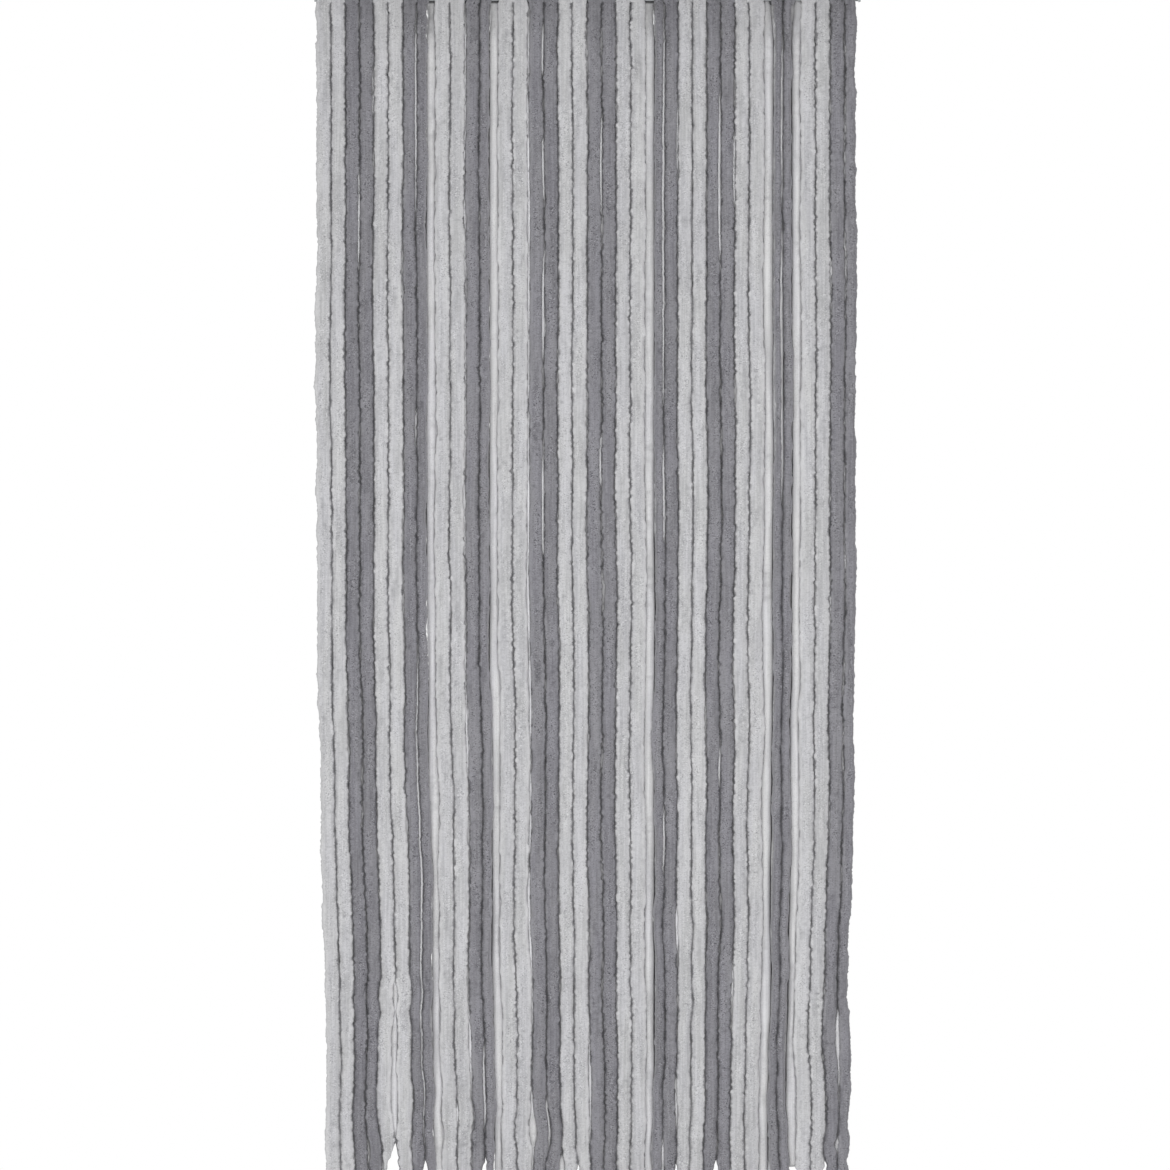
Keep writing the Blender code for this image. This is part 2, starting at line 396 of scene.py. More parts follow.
def strandX(row, leg, depth):
    # Middle of a strand along X, at a depth below the rail's top, once it hangs beside its twin
    top = row["top"][leg]
    drawn = (depth - hang["drawStart"]) / (hang["drawEnd"] - hang["drawStart"])
    drawn = np.clip(drawn, 0, hang["drawMost"]) ** hang["drawCurve"]
    x = top + (hang["drawTo"] - top) * hang["drawShare"] * drawn
    for after, middle, half, wide in row["partings"]:
        away = leg - after if leg >= after else after - 1 - leg
        push = wide / 2 * hang["partShare"] ** away
        window = np.clip(1 - ((depth - middle) / half) ** 2, 0, 1) ** hang["partCurve"]
        x = x + (push if leg >= after else -push) * window
    if leg + 1 in row["slimRight"]:
        x = x - hang["slimShift"]
    if leg + 1 in row["slimLeft"]:
        x = x + hang["slimShift"]
    x = x + row["nudged"].get(leg + 1, 0) + swayOf(row, leg, depth, 0)
    drifted = np.clip((depth - hang["driftFrom"]) / hang["driftOver"], 0, 1) ** hang["driftCurve"]
    x = x + row["drift"].get(leg + 1, 0) * drifted
    return top + (x - top) * np.clip((depth - hang["freeFrom"]) / hang["freeOver"], 0, 1)


def creviceX(row, number, depth):
    # Where two strands press on each other: a ragged line near the middle between them
    left, right = strandX(row, number - 1, depth), strandX(row, number, depth)
    fine = np.zeros_like(depth)
    phases = row["crevicePhases"][number]
    for index, (length, height) in enumerate(creviceWaves):
        ragged = row["teeth"][number] if length < toothLength else 1.0
        slow = 2 * pi * depth / (swell["lengths"] * length) + phases[index + len(creviceWaves)]
        swing = 1 - swell["share"] + swell["share"] * np.sin(slow)
        fine += height * ragged * swing * np.sin(2 * pi * depth / length + phases[index])
    lean = 0.0
    if row is rows["front"] and number % 2 == 0:
        # Light strands are plumper than dark ones, most of all towards the tips
        towards = 1 if number % 4 == 2 else -1
        grown = hang["plumperTop"] + (1 - hang["plumperTop"]) * depth / hang["drawEnd"]
        lean = hang["lightPlumper"] * towards * grown
    return (left + right) / 2 + lean + fine * row["creviceWave"]


def sideSpread(row, leg, side):
    # How far a strand's pile reaches to its left (-1) or right (1)
    shade = row["nodes"][leg // 2].split("_")[-1]
    slim = row["slimLeft"] if side < 0 else row["slimRight"]
    return yarns[shade]["spread"] * (1 - hang["slimShare"] * (leg + 1 in slim))


def sliverBeside(row, after, depth):
    # How much the strand on the left gives way, where a pale sliver shows
    lost = 0 * depth
    for number, middle, half, wide in row["slivers"]:
        if number == after:
            window = np.clip(1 - ((depth - middle) / half) ** 2, 0, 1) ** hang["sliverCurve"]
            lost = lost + wide * window
    return lost


def openings(depth):
    # Left and right edges of the front row's openings at each depth
    row = rows["front"]
    legs = range(len(row["top"]))
    strands = [strandX(row, leg, depth) for leg in legs]
    lefts, rights = [], []
    for leg in legs[:-1]:
        middle = (strands[leg] + strands[leg + 1]) / 2
        left = np.minimum(strands[leg] + sideSpread(row, leg, 1), middle)
        lefts.append(left - sliverBeside(row, leg + 1, depth))
        rights.append(np.maximum(strands[leg + 1] - sideSpread(row, leg + 1, -1), middle))
    return np.array(lefts), np.array(rights)


def fillOf(row, leg, depth):
    # A rear strand bulges forward into the front opening before it. How far it does, and where
    # that opening's middle and edges are, as seen from the strand
    nothing = 0 * depth, 0 * depth, 0 * depth
    if row is rows["front"]:
        return nothing
    probe = np.array([hang["probeDepth"]])
    lefts, rights = openings(probe)
    own = np.array([strandX(row, other, probe)[0] for other in range(len(row["top"]))])
    owners = np.abs(own[None, :] - (lefts + rights) / 2).argmin(1)
    mine = owners == leg
    if not mine.any():
        return nothing
    lefts, rights = openings(depth)
    lefts, rights = lefts[mine], rights[mine]
    wide = rights - lefts
    weight = np.clip(wide + hang["weightFrom"], 0, None) ** 2 + 1e-12
    middle = (weight * (lefts + rights) / 2).sum(0) / weight.sum(0) - strandX(row, leg, depth)
    half = (weight * wide).sum(0) / weight.sum(0) / 2 + hang["openingExtra"]
    half = np.maximum(half, hang["openingLeast"])
    share = np.clip((wide - hang["clearFrom"]) / hang["clearOver"], 0, 1).max(0)
    width = hang["smoothRings"]
    smooth = np.hanning(2 * width + 1) / width
    share = np.convolve(np.pad(share, width, mode="edge"), smooth, "valid")
    share *= np.clip((depth - chenille["railDepth"]) / hang["forwardOver"], 0, 1)
    return share, middle, half


def hangY(row, leg, depth):
    # Place of a hanging strand before or behind its wire, never far into the other row
    sway = row["outward"] * swayOf(row, leg, depth, 1)
    sway = np.where(sway < 0, hang["swayInwards"] * sway, sway) * hang["swayForward"]
    return row["outward"] * sway - hang["pushForward"] * fillOf(row, leg, depth)[0]


def legPath(row, leg, length):
    # Ring centres of one half of a folded cord from the top of its crown to its tip, and how
    # full its pile is at each of them
    side = -1 if leg % 2 == 0 else 1
    wire = row["wire"]
    centre = row["top"][leg] - side * chenille["halfPitch"]
    full = chenille["diameter"] / 2
    narrow = chenille["squeezed"] / 2
    crown = chenille["crownRadius"]
    blunt = chenille["tipRound"]

    # Over the wire
    start = pi / 2 - chenille["crownGap"] / crown
    bend = np.linspace(start, 0, chenille["crownRings"] + 1)[:-1]
    over = np.stack([0 * bend, side * crown * np.cos(bend), crown * np.sin(bend)], 1)

    # From before or behind the wire to the place beside its twin
    share = np.linspace(0, 1, chenille["settleRings"])
    turn = pi / 2 * share * share * (3 - 2 * share)
    aside = side * chenille["halfPitch"] * np.sin(turn)
    down = np.stack([aside, side * crown * np.cos(turn), -chenille["settle"] * share], 1)

    # Down to the rounded tip
    end = length - blunt
    below = np.linspace(chenille["settle"], end, row["straightRings"] + 1)[1:]
    tip = np.linspace(0, chenille["tipTurn"], chenille["tipRings"] + 1)[1:]
    below = np.concatenate([below, end + blunt * np.sin(tip)])
    depth = below - wire.z
    free = np.clip((depth - chenille["railDepth"]) / hang["forwardOver"], 0, 1)
    forward = hangY(row, leg, depth) * free
    straight = np.stack([strandX(row, leg, depth) - centre, forward, -below], 1)

    points = np.concatenate([over, down, straight]) + [centre, wire.y, wire.z]
    fullness = np.concatenate(
        [
            0 * bend + narrow / full,
            (narrow + (full - narrow) * (1 - np.cos(turn))) / full,
            np.ones(row["straightRings"]),
            np.cos(tip) ** chenille["tipFullness"],
        ]
    )
    return points, fullness


def smoothNoise(random, rings, sides, every, around):
    # Soft lumps: coarse random values joined by smooth blends, closed round the strand
    coarse = random.normal(size=(rings // every + 3, around))
    coarse = np.concatenate([coarse, coarse[:, :1]], 1)
    u = np.arange(rings) / every
    v = np.arange(sides) * around / sides
    i = u.astype(int)
    j = v.astype(int)
    fu = (u - i)[:, None]
    fv = (v - j)[None, :]
    fu = fu * fu * (3 - 2 * fu)
    fv = fv * fv * (3 - 2 * fv)
    low = coarse[i][:, j] * (1 - fv) + coarse[i][:, j + 1] * fv
    high = coarse[i + 1][:, j] * (1 - fv) + coarse[i + 1][:, j + 1] * fv
    return low * (1 - fu) + high * fu


def makePileTube(sides, rings):
    # A closed tube of unit radius with a ring at every whole height; a row's strands share it
    tube = bmesh.new()
    bmesh.ops.create_circle(tube, segments=sides, radius=1.0)
    rim = list(tube.edges)
    bmesh.ops.edgeloop_fill(tube, edges=rim)
    for _ in range(rings - 1):
        pulled = bmesh.ops.extrude_edge_only(tube, edges=rim)["geom"]
        fresh = {item for item in pulled if isinstance(item, bmesh.types.BMVert)}
        rim = [e for e in pulled if isinstance(e, bmesh.types.BMEdge) and fresh.issuperset(e.verts)]
        bmesh.ops.translate(tube, verts=list(fresh), vec=(0, 0, 1))
    bmesh.ops.edgeloop_fill(tube, edges=rim)
    bmesh.ops.recalc_face_normals(tube, faces=tube.faces)

    # The operators leave the faces in an order that changes from run to run
    tube.verts.index_update()
    total = len(tube.verts)
    corners = {face: [vert.index for vert in face.verts] for face in tube.faces}
    tube.faces.sort(key=lambda face: min(corners[face]) * total + max(corners[face]))

    mesh = bpy.data.meshes.new("pileTube")
    tube.to_mesh(mesh)
    tube.free()
    mesh.shade_smooth()
    place = np.empty(len(mesh.vertices) * 3, np.float32)
    mesh.vertices.foreach_get("co", place)
    place = place.reshape(-1, 3)
    ring = np.rint(place[:, 2]).astype(int)
    spot = np.rint(np.arctan2(place[:, 1], place[:, 0]) * sides / (2 * pi)).astype(int) % sides
    return mesh, ring, spot


def wallBeside(row, leg, index, depth):
    # Room that a strand has on its left (0) or right (1), up to the crevice beside it
    number = leg + index
    if number == 0 or number == len(row["top"]):
        return np.full_like(depth, chenille["outerRoom"])
    wall = np.abs(creviceX(row, number, depth) - strandX(row, leg, depth)) - chenille["touchGap"]
    hanging = depth + row["wire"].z > chenille["settle"]
    return np.where(hanging, np.maximum(wall, chenille["leastRoom"]), chenille["outerRoom"])


def lossBeside(row, leg, index, depth):
    # How much a strand gives way to a sliver, or to a white wedge at the foot of the picture
    lost = sliverBeside(row, leg + 1, depth) if index else 0 * depth
    for after, start, wide, share in row["wedges"]:
        if after == leg + index:
            part = share if index else 1 - share
            down = np.clip((depth - start) / (hang["pictureFoot"] - start), 0, hang["wedgeMost"])
            lost = lost + part * wide * down ** hang["wedgeCurve"]
    return lost


# Ridge of a rear strand in an opening: at each place across the strand, how far sideways it is as
# a share of the opening's half, and how high as a share of its reach. It carries a share of the
# relief sideways, and shrinks faster than the pile does where that is thin
ridge = {
    "place": (0.0, 0.20, 0.51, 0.74, 0.80),
    "across": (0.0, 0.40, 0.95, 1.0, 1.0),
    "height": (1.0, 0.98, 0.82, 0.10, 0.10),
    "relief": 0.3,
    "thinLoss": 1.4,
    "leastForward": 0.001,
}


def bulgeForward(row, leg, depth, points, fullness, c, sideways, forward, relief):
    # The front of a rear strand: a ridge that fills the opening before it, while the rest of
    # the strand stays behind the front row
    share, middle, half = (item[:, None] for item in fillOf(row, leg, depth))
    behind = rows["front"]["wire"].y + chenille["pileForward"] + hang["behindFront"]
    limit = np.maximum(points[:, 1:2] - behind, ridge["leastForward"])
    facing = forward > 0
    forward = np.where(facing, np.minimum(forward, limit), forward)
    across = np.interp(np.abs(c), ridge["place"], ridge["across"])
    height = np.interp(np.abs(c), ridge["place"], ridge["height"]) * hang["bulgeReach"]
    raised = facing & (np.abs(c) < ridge["place"][-1])
    thick = np.clip(1 - ridge["thinLoss"] * (1 - fullness[:, None]), 0, 1)
    amount = np.where(raised, share, 0.0) * thick
    inOpening = middle + half * across * np.sign(c) + ridge["relief"] * relief
    sideways = (1 - amount) * sideways + amount * inOpening
    forward = (1 - amount) * forward + amount * (height + relief)
    forward = np.where(facing, forward, forward * (1 + hang["backStretch"] * share))
    # A ridge in a narrow opening gets a painted highlight, as little light reaches it
    slim = amount * np.clip((hang["slimOpening"] - half) / (hang["slimOpening"] / 2), 0, 1)
    return sideways, forward, amount, slim


# Soft lumps in the pile: rings from one to the next, how many round the strand, and weight
lumpPattern = ((17, 4, 1.0), (6, 6, 0.6))
tuftPattern = ((2, 9, 1.0),)
edgePattern = ((8, 2, 1.0), (3, 2, 0.5))
tonePattern = ((50, 3, 0.22), (20, 3, 0.26), (8, 3, 0.24))


def layeredNoise(random, rings, sides, pattern):
    total = np.zeros((rings, sides))
    for every, around, weight in pattern:
        total += weight * smoothNoise(random, rings, sides, every, around)
    return total


def roundStrand(row):
    # Points round a strand: shares of its reach to the right and forward. They stand closer
    # together on the side that faces out of the curtain
    sides = row["sides"]
    u = (np.arange(sides) + 0.5) * 2 / sides - 1
    angle = -row["outward"] * pi / 2 + pi * (row["evenness"] * u + (1 - row["evenness"]) * u**3)
    c, s = np.cos(angle), np.sin(angle)
    c = np.sign(c) * np.abs(c) ** chenille["squareness"]
    s = np.sign(s) * np.abs(s) ** chenille["squareness"]
    return c, s


def squareToPath(points):
    # Directions to the right and forward at each ring, square to the strand's path
    along = np.gradient(points, axis=0)
    along /= np.linalg.norm(along, axis=1)[:, None]
    across = np.array([[1.0, 0, 0]]) - along[:, :1] * along
    across /= np.linalg.norm(across, axis=1)[:, None]
    return across, np.cross(along, across)


def pileRelief(random, rings, sides, c):
    # Lumps, tufts and fibres. A fibre is joined to those beside it, and the division keeps the
    # spread of their heights
    lumps = chenille["lumpRelief"] * layeredNoise(random, rings, sides, lumpPattern)
    tufts = chenille["tuftRelief"] * layeredNoise(random, rings, sides, tuftPattern)
    fibre = random.normal(size=(rings, sides))
    fibre = (np.roll(fibre, 1, 1) + 1.5 * fibre + np.roll(fibre, -1, 1)) / 2.06
    fibre *= chenille["fibreRelief"] * (chenille["faceFibre"] + (1 - chenille["faceFibre"]) * c**2)
    return lumps, tufts, fibre


def freeReach(row, leg, shade, depth, fullness, ragged):
    # How far the pile would reach to the left and right with nothing beside it
    spread = yarns[shade]["spread"] * fullness
    begun = np.clip((depth - hang["slimFrom"]) / hang["slimOver"], 0, 1)
    slimmer = 1 - hang["slimShare"] * begun
    toLeft = spread * slimmer if leg + 1 in row["slimLeft"] else spread
    toRight = spread * slimmer if leg + 1 in row["slimRight"] else spread
    toRight = toRight - row["trimmed"].get(leg + 1, 0) * begun * fullness
    left, right = (ragged[:, index] * fullness ** chenille["reliefFade"] for index in (0, 1))
    return (toLeft + left)[:, None], (toRight + right)[:, None]


def writeLayer(mesh, row, name, values):
    # One value for every point of a strand, for its shader
    _, ring, spot = row["tube"]
    layer = mesh.attributes.new(name, "FLOAT", "POINT")
    layer.data.foreach_set("value", values[ring, spot].astype(np.float32))


def addLeg(name, row, leg, length, shade, material):
    # One half of a folded cord, with its pile pressed against its neighbours
    points, fullness = legPath(row, leg, length)
    rings, sides = len(points), row["sides"]
    random = np.random.default_rng(row["seed"] + 11 * leg)
    across, deep = squareToPath(points)
    c, s = roundStrand(row)
    lumps, tufts, fibre = pileRelief(random, rings, sides, c)
    relief = (lumps + tufts + fibre) * fullness[:, None] ** chenille["reliefFade"]

    # Sideways, the pile stops at the crevices, or before them beside a sliver or wedge
    depth = -points[:, 2]
    ragged = chenille["edgeRelief"] * layeredNoise(random, rings, 2, edgePattern)
    toLeft, toRight = freeReach(row, leg, shade, depth, fullness, ragged)
    leftWall, rightWall = (wallBeside(row, leg, index, depth)[:, None] for index in (0, 1))
    leftLoss, rightLoss = (lossBeside(row, leg, index, depth)[:, None] for index in (0, 1))
    leftEdge = np.maximum(leftWall - leftLoss, chenille["leastWidth"] - rightWall)
    rightEdge = np.maximum(rightWall - rightLoss, chenille["leastWidth"] - leftWall)
    sideways = (np.where(c < 0, toLeft, toRight) + relief) * c
    sideways = np.clip(sideways, -leftEdge, rightEdge)
    forward = (chenille["pileForward"] * fullness[:, None] + relief) * s

    # Room to the crevice, which sets the painted crevice shadow, and painted shade from the rail
    opened = np.where(c < 0, leftWall - toLeft, rightWall - toRight)
    room = np.where(c < 0, leftWall + sideways, rightWall - sideways)
    room = room + chenille["openGain"] * np.clip(opened, 0, chenille["openRoom"])
    top = np.clip(1 - (depth[:, None] - chenille["topDepth"]) / chenille["topFade"], 0, 1)
    # Painted shade that darkens the pile towards the rail
    paintedTopShade = yarns[shade]["topShade"] * top + 0 * room
    slim = 0 * room
    if row["outward"] > 0:
        bulge = bulgeForward(row, leg, depth, points, fullness, c, sideways, forward, relief)
        sideways, forward, amount, slim = bulge
        room = np.maximum(room, chenille["mostRoom"] * amount)
        # Painted shadow on the rear strands just under the rail
        start, end, dark = chenille["railShade"]
        railShadow = (depth[:, None] > start) & (depth[:, None] < end) & (s > 0)
        paintedTopShade = np.where(railShadow, dark, paintedTopShade)
    reach = np.minimum(1, chenille["reach"] / np.hypot(sideways, forward))
    sideways, forward = (item[:, :, None] * reach[:, :, None] for item in (sideways, forward))
    place = points[:, None, :] + sideways * across[:, None, :] + forward * deep[:, None, :]

    # Everything that the shader reads goes from 0 to 1, except the room, which is in metres
    base, ring, spot = row["tube"]
    mesh = base.copy()
    mesh.name = name
    mesh.vertices.foreach_set("co", place[ring, spot].astype(np.float32).ravel())
    level = (tufts + fibre + 0.5 * lumps) / (chenille["fibreRelief"] + chenille["tuftRelief"])
    slow = chenille["toneMiddle"] + chenille["toneSpread"] * random.normal()
    slow = slow + layeredNoise(random, rings, sides, tonePattern)
    # Painted highlight on flanks beside an opening and on a ridge in a narrow opening
    (placeFrom, placeOver), (roomFrom, roomOver) = chenille["flankPlace"], chenille["flankRoom"]
    flankLight = np.clip((np.abs(c) - placeFrom) / placeOver, 0, 1)
    flankLight = np.maximum(flankLight * np.clip((room - roomFrom) / roomOver, 0, 1), slim)
    # The pile's height drives painted shade in low pile and painted highlight on high pile
    writeLayer(mesh, row, "pileHeight", np.clip(0.5 + 0.25 * level, 0, 1))
    writeLayer(mesh, row, "creviceRoom", np.clip(room, 0, chenille["mostRoom"]))
    writeLayer(mesh, row, "strandTone", np.clip(slow, 0, 1))
    writeLayer(mesh, row, "flankLight", flankLight * fullness[:, None] ** 2)
    writeLayer(mesh, row, "paintedTopShade", paintedTopShade)
    mesh.materials.append(material)
    mesh.update()
    return addToScene(name, mesh), points


# Shader helpers
def addNode(tree, kind, **settings):
    node = tree.nodes.new(kind)
    for key, value in settings.items():
        setattr(node, key, value)
    return node


def setInput(tree, node, socket, value):
    # A socket takes a number or colour, or a link from another node's output
    target = node.inputs[socket]
    if isinstance(value, bpy.types.NodeSocket):
        tree.links.new(value, target)
    else:
        target.default_value = value


def mixColour(tree, factor, first, second, blend="MIX"):
    node = addNode(tree, "ShaderNodeMix", data_type="RGBA", blend_type=blend)
    setInput(tree, node, 0, factor)
    setInput(tree, node, 6, first)
    setInput(tree, node, 7, second)
    return node.outputs[2]


def mapRange(tree, value, low, high, newLow, newHigh):
    node = addNode(tree, "ShaderNodeMapRange")
    for index, item in enumerate((value, low, high, newLow, newHigh)):
        setInput(tree, node, index, item)
    return node.outputs[0]


def stretchedNoise(tree, place, scale, size, detail):
    mapping = addNode(tree, "ShaderNodeMapping")
    setInput(tree, mapping, "Vector", place)
    setInput(tree, mapping, "Scale", scale)
    noise = addNode(tree, "ShaderNodeTexNoise")
    setInput(tree, noise, "Vector", mapping.outputs[0])
    setInput(tree, noise, "Scale", size)
    setInput(tree, noise, "Detail", detail)
    return noise.outputs[0]


def newGroup(name, inputs, outputs):
    tree = bpy.data.node_groups.new(name, "ShaderNodeTree")
    for socket, kind, value in inputs:
        made = tree.interface.new_socket(socket, in_out="INPUT", socket_type=kind)
        made.default_value = value
    for socket, kind in outputs:
        tree.interface.new_socket(socket, in_out="OUTPUT", socket_type=kind)
    return tree, addNode(tree, "NodeGroupInput"), addNode(tree, "NodeGroupOutput")


def calculate(tree, operation, first, second):
    node = addNode(tree, "ShaderNodeMath", operation=operation)
    setInput(tree, node, 0, first)
    setInput(tree, node, 1, second)
    return node.outputs[0]


def addBump(tree, shader, strength, distance, height):
    bump = addNode(tree, "ShaderNodeBump")
    setInput(tree, bump, "Strength", strength)
    setInput(tree, bump, "Distance", distance)
    setInput(tree, bump, "Height", height)
    setInput(tree, shader, "Normal", bump.outputs[0])


# Noises of the pile: stretch, size and detail
pileNoises = {
    "band": ((1.0, 1.0, 0.035), 300.0, 1.0),
    "streak": ((0.32, 0.32, 1.0), 640.0, 2.0),
    "fleck": ((1.0, 1.0, 1.0), 900.0, 2.0),
    "speck": ((0.8, 0.8, 1.0), 560.0, 0.0),
    "patch": ((1.0, 1.0, 0.35), 38.0, 1.0),
    "hue": ((1.0, 1.0, 0.14), 42.0, 1.0),
    "tooth": ((0.6, 0.6, 1.0), 330.0, 2.0),
    "bridge": ((1.0, 1.0, 1.0), 46.0, 2.0),
}

# What the pile makes of them: a value between the first two numbers becomes one between the
# last two
pileRanges = {
    "slowTone": (0.0, 1.0, 0.0, 0.42),
    "lightBand": (0.46, 0.66, 0.0, 0.32),
    "darkBand": (0.48, 0.30, 0.0, 0.18),
    "hue": (0.40, 0.60, 0.0, 1.0),
    "turnedAway": (0.0020, 0.0070, 0.32, 0.0),
    "lowPile": (0.05, 0.42, 0.55, 0.0),
    "highPile": (0.62, 1.0, 0.0, 0.30),
    "streak": (0.44, 0.66, 0.0, 1.0),
    "patch": (0.40, 0.60, 0.35, 1.0),
    "darkSpeck": (0.36, 0.26, 0.0, 1.0),
    "lightSpeck": (0.64, 0.74, 0.0, 1.0),
    "flankLight": (0.0, 1.0, 0.0, 0.85),
    "tooth": (0.25, 0.75, -0.0017, 0.0017),
    "seam": (0.0010, 0.0035, 1.0, 0.0),
    "bridge": (0.38, 0.62, 1.0, 0.08),
}

# The surface that all three yarns share
pileSurface = {
    "warmTint": (1.0, 1.0, 0.992, 1),
    "coolTint": (0.998, 0.996, 1.010, 1),
    # Colour of the painted shadow under the rail
    "railShadow": (0.02, 0.02, 0.022, 1),
    "bumpDistance": 0.0012,
    "roughness": 0.95,
    "specular": 0.15,
    "sheenRoughness": 0.45,
}


def makePileGroup():
    # Cut pile: soft bands down the strand, fine streaks across it, specks of bent fibres in
    # patches, slow changes of tone and hue, painted shade and highlight from the pile's relief,
    # on the sides and flanks, and painted deep shade in the crevice beside a neighbour
    tree, given, out = newGroup(
        "cutPile",
        [
            ("Colour", "NodeSocketColor", (0.5, 0.5, 0.5, 1)),
            ("Hollow", "NodeSocketColor", (0.2, 0.2, 0.2, 1)),
            ("Tip", "NodeSocketColor", (0.8, 0.8, 0.8, 1)),
            ("Rim", "NodeSocketColor", (0.9, 0.9, 0.9, 1)),
            ("Seam", "NodeSocketColor", (0.1, 0.1, 0.1, 1)),
            ("Streaks", "NodeSocketFloat", 0.5),
            ("Specks", "NodeSocketFloat", 0.5),
        ],
        [("Colour", "NodeSocketColor"), ("Height", "NodeSocketFloat")],
    )
    place = addNode(tree, "ShaderNodeTexCoord").outputs["Object"]
    noise = {key: stretchedNoise(tree, place, *values) for key, values in pileNoises.items()}

    def layer(name):
        return addNode(tree, "ShaderNodeAttribute", attribute_name=name).outputs["Fac"]

    def ranged(value, name):
        return mapRange(tree, value, *pileRanges[name])

    def towards(colour, share, under):
        return mixColour(tree, share, under, given.outputs[colour])

    # Slow tone, bands and hue
    body = towards("Tip", ranged(layer("strandTone"), "slowTone"), given.outputs["Colour"])
    body = towards("Tip", ranged(noise["band"], "lightBand"), body)
    body = towards("Hollow", ranged(noise["band"], "darkBand"), body)
    tints = pileSurface["warmTint"], pileSurface["coolTint"]
    tint = mixColour(tree, ranged(noise["hue"], "hue"), *tints)
    body = mixColour(tree, 1.0, body, tint, "MULTIPLY")

    # Painted shade on the sides of a strand, which turn away from the light
    room = layer("creviceRoom")
    body = towards("Hollow", ranged(room, "turnedAway"), body)

    # Relief of the pile as painted shade where it is low and painted highlight where it is high; streaks and
    # specks
    pile = layer("pileHeight")
    body = towards("Hollow", ranged(pile, "lowPile"), body)
    body = towards("Tip", ranged(pile, "highPile"), body)
    streaks = ranged(noise["streak"], "streak")
    streaks = calculate(tree, "MULTIPLY", streaks, given.outputs["Streaks"])
    body = towards("Hollow", streaks, body)
    patchy = ranged(noise["patch"], "patch")
    patchy = calculate(tree, "MULTIPLY", patchy, given.outputs["Specks"])
    for colour, name in (("Hollow", "darkSpeck"), ("Tip", "lightSpeck")):
        specks = calculate(tree, "MULTIPLY", ranged(noise["speck"], name), patchy)
        body = towards(colour, specks, body)

    # Painted highlight on flanks beside an opening, and on a rear ridge in a narrow one
    body = towards("Rim", ranged(layer("flankLight"), "flankLight"), body)

    # Painted crevice shadow beside a neighbour: a ragged edge with teeth, bridged by fibres here and there
    ragged = calculate(tree, "ADD", room, ranged(noise["tooth"], "tooth"))
    bridged = ranged(noise["bridge"], "bridge")
    body = towards("Seam", calculate(tree, "MULTIPLY", ranged(ragged, "seam"), bridged), body)
    # Painted shade towards the top and painted shadow under the rail
    body = mixColour(tree, layer("paintedTopShade"), body, pileSurface["railShadow"])

    height = calculate(tree, "ADD", noise["streak"], noise["fleck"])
    tree.links.new(body, out.inputs["Colour"])
    tree.links.new(height, out.inputs["Height"])
    return tree


def newMaterial(name):
    material = bpy.data.materials.new(name)
    material.use_nodes = True
    tree = material.node_tree
    return material, tree, tree.nodes["Principled BSDF"]


def makeChenille(name, group):
    look = yarns[name]
    material, tree, shader = newMaterial(name + "Chenille")
    pile = addNode(tree, "ShaderNodeGroup", node_tree=group)
    for socket in ("Colour", "Hollow", "Tip", "Rim", "Seam"):
        setInput(tree, pile, socket, (*look[socket.lower()], 1))
    for socket in ("Streaks", "Specks"):
        setInput(tree, pile, socket, look[socket.lower()])
    addBump(tree, shader, look["bump"], pileSurface["bumpDistance"], pile.outputs["Height"])
    setInput(tree, shader, "Base Color", pile.outputs["Colour"])
    setInput(tree, shader, "Roughness", pileSurface["roughness"])
    setInput(tree, shader, "Specular IOR Level", pileSurface["specular"])
    setInput(tree, shader, "Sheen Weight", look["sheen"])
    setInput(tree, shader, "Sheen Roughness", pileSurface["sheenRoughness"])
    return material


def tipLoss(order):
    # How much shorter than the longest one a strand is, by its place in the construction
    return chenille["tipSpread"] * (order * 5 % 7) / 6


def addRow(name, materials):
    row = rows[name]
    bentRings = chenille["crownRings"] + chenille["settleRings"] + chenille["tipRings"]
    row["tube"] = makePileTube(row["sides"], row["straightRings"] + bentRings)
    longest = row["drop"] + row["wire"].z
    for cord, (body, node) in enumerate(zip(row["bodies"], row["nodes"])):
        shade = node.split("_")[-1]
        for half, side in enumerate(("Left", "Right")):
            leg = 2 * cord + half
            pieceName = f"{name}Cord{cord + 1:02d}{shade.capitalize()}{side}"
            length = longest - tipLoss(2 * row["firstOrder"] + leg) - row["shorter"].get(leg + 1, 0)
            piece, points = addLeg(pieceName, row, leg, length, shade, materials[shade])
            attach(piece, body)
            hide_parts(node)
    bpy.data.meshes.remove(row["tube"][0])


# Rail, caps and wires keep their shapes and take these finishes. Grain and cloud: stretch, size
# and detail; bump: strength and distance
finishes = {
    "satinAluminium": {
        "colour": (0.34, 0.345, 0.355),
        "shade": (0.28, 0.285, 0.295),
        "metallic": 1.0,
        "grain": ((0.012, 1.0, 1.0), 900.0, 4.0),
        "cloud": ((1.0, 1.0, 1.0), 18.0, 3.0),
        "roughness": (0.60, 0.74),
        "bump": (0.12, 0.0004),
    },
    "drawnSteel": {
        "colour": (0.44, 0.44, 0.45),
        "shade": (0.34, 0.34, 0.35),
        "metallic": 1.0,
        "grain": ((0.02, 1.0, 1.0), 2200.0, 3.0),
        "cloud": ((1.0, 1.0, 1.0), 60.0, 4.0),
        "roughness": (0.40, 0.54),
        "bump": None,
    },
    "greyPlastic": {
        "colour": (0.40, 0.41, 0.42),
        "shade": (0.35, 0.36, 0.37),
        "metallic": 0.0,
        "grain": ((1.0, 1.0, 1.0), 1500.0, 2.0),
        "cloud": ((1.0, 1.0, 1.0), 40.0, 3.0),
        "roughness": (0.42, 0.60),
        "bump": (0.20, 0.0003),
    },
}
grainRange = (0.3, 0.7)
finishOf = {
    "rail": "satinAluminium",
    "end_cap_left": "greyPlastic",
    "end_cap_right": "greyPlastic",
    "front_wire": "drawnSteel",
    "rear_wire": "drawnSteel",
}


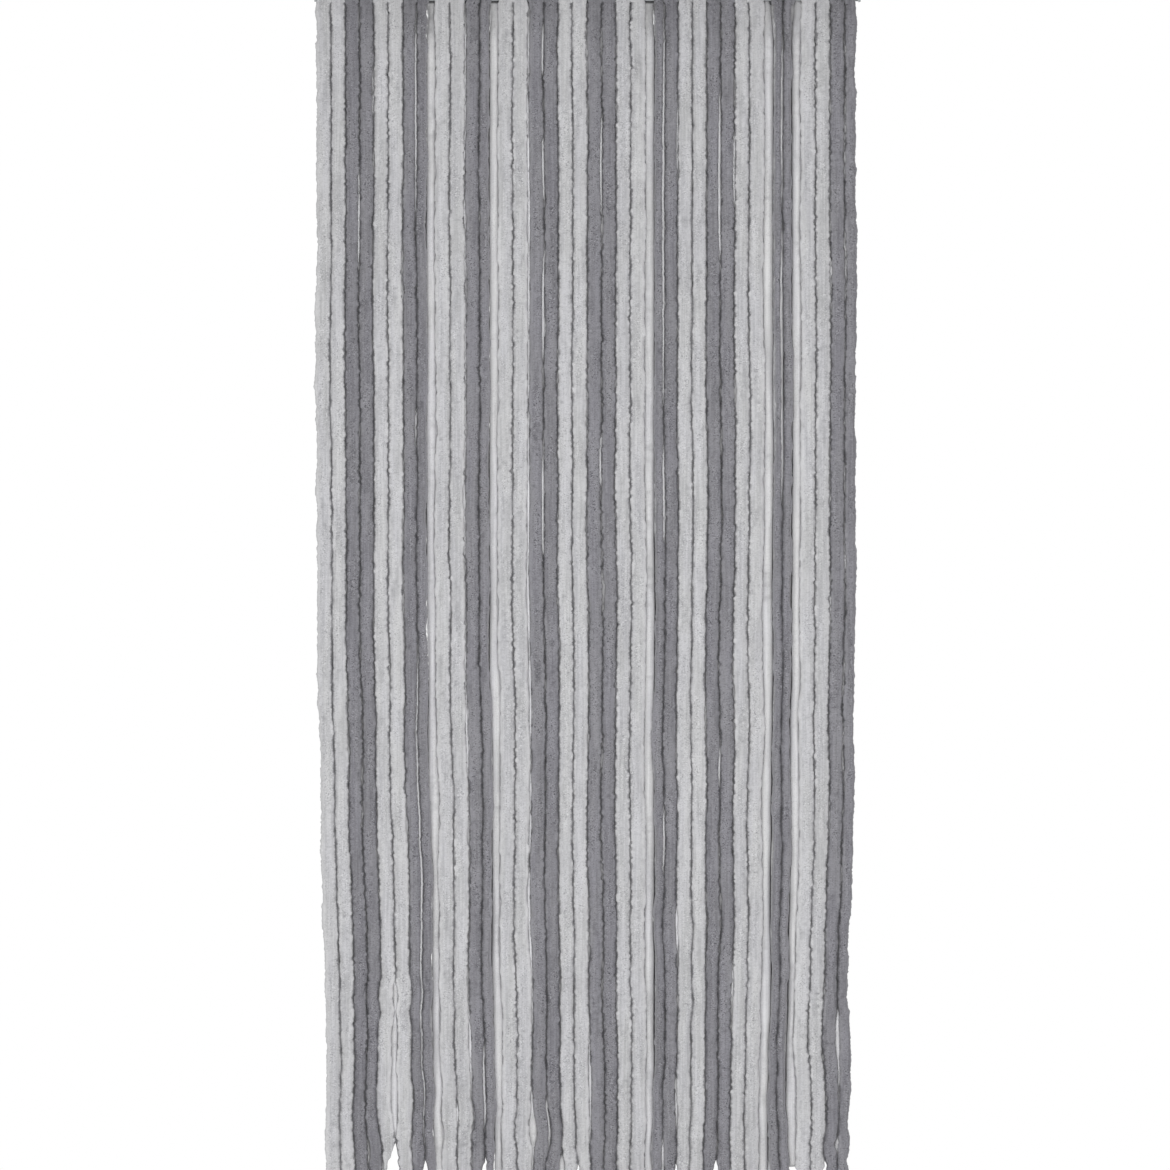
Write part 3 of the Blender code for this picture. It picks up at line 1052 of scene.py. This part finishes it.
def makeFinish(name):
    look = finishes[name]
    material, tree, shader = newMaterial(name)
    place = addNode(tree, "ShaderNodeTexCoord").outputs["Object"]
    grain = stretchedNoise(tree, place, *look["grain"])
    cloud = stretchedNoise(tree, place, *look["cloud"])
    colour = mixColour(tree, cloud, (*look["shade"], 1), (*look["colour"], 1))
    setInput(tree, shader, "Base Color", colour)
    setInput(tree, shader, "Metallic", look["metallic"])
    setInput(tree, shader, "Roughness", mapRange(tree, grain, *grainRange, *look["roughness"]))
    if look["bump"]:
        addBump(tree, shader, *look["bump"], grain)
    return material


def dressNode(node, material):
    mesh = frame["nodes"][node].data
    mesh.materials.clear()
    mesh.materials.append(material)


# Studio: pale floor, white behind the object, soft lamps in front of it and one behind
studio = {
    "floorZ": -2.035,
    "floorSize": 3.2,
    "floorBack": 0.35,
    "floorColour": (0.82, 0.82, 0.82, 1),
    "floorRoughness": 0.8,
    "ambient": 0.38,
    "lampAim": (0, 0, -1.05),
}
lamps = (
    # name, place, size, power in watts
    ("keyLamp", (2.6, -3.8, -1.1), 1.2, 18.0),
    ("axisLamp", (0.05, -4.6, -1.10), 0.9, 119.0),
    ("fillLamp", (-3.0, -3.4, -1.2), 2.0, 26.0),
    ("backLamp", (0.0, 8.6, -0.5), 4.2, 430.0),
)


def addLamps():
    for name, place, size, power in lamps:
        data = bpy.data.lights.new(name, "AREA")
        data.shape = "SQUARE"
        data.size = size
        data.energy = power
        lamp = addToScene(name, data)
        lamp.location = place
        towards = Vector(studio["lampAim"]) - Vector(place)
        lamp.rotation_euler = towards.to_track_quat("-Z", "Y").to_euler()


def addWorld():
    # White to the camera and in reflections, dimmer as light on the pile
    world = bpy.data.worlds.new("studio")
    bpy.context.scene.world = world
    world.use_nodes = True
    tree = world.node_tree
    tree.nodes.clear()
    rays = addNode(tree, "ShaderNodeLightPath").outputs
    seen = calculate(tree, "MAXIMUM", rays["Is Glossy Ray"], rays["Is Transmission Ray"])
    seen = calculate(tree, "MAXIMUM", rays["Is Camera Ray"], seen)
    back = addNode(tree, "ShaderNodeBackground")
    setInput(tree, back, "Strength", mapRange(tree, seen, 0.0, 1.0, studio["ambient"], 1.0))
    setInput(tree, back, "Color", (1, 1, 1, 1))
    out = addNode(tree, "ShaderNodeOutputWorld")
    tree.links.new(back.outputs[0], out.inputs["Surface"])


def addFloor():
    data = bmesh.new()
    bmesh.ops.create_grid(data, x_segments=1, y_segments=1, size=studio["floorSize"] / 2)
    back = studio["floorBack"] - studio["floorSize"] / 2
    bmesh.ops.translate(data, verts=data.verts, vec=(0, back, studio["floorZ"]))
    mesh = bpy.data.meshes.new("floor")
    data.to_mesh(mesh)
    data.free()
    material, tree, shader = newMaterial("paleFloor")
    setInput(tree, shader, "Base Color", studio["floorColour"])
    setInput(tree, shader, "Roughness", studio["floorRoughness"])
    mesh.materials.append(material)
    addToScene("floor", mesh)


bpy.context.scene.view_settings.view_transform = "Standard"
addLamps()
addWorld()
addFloor()
print("studio lit")

pileGroup = makePileGroup()
yarnMaterials = {name: makeChenille(name, pileGroup) for name in yarns}
for rowName in rows:
    readRow(rowName)
for rowName in rows:
    addRow(rowName, yarnMaterials)

hardMaterials = {name: makeFinish(name) for name in finishes}
for nodeName, finishName in finishOf.items():
    dressNode(nodeName, hardMaterials[finishName])
print("rail, caps and wires dressed")
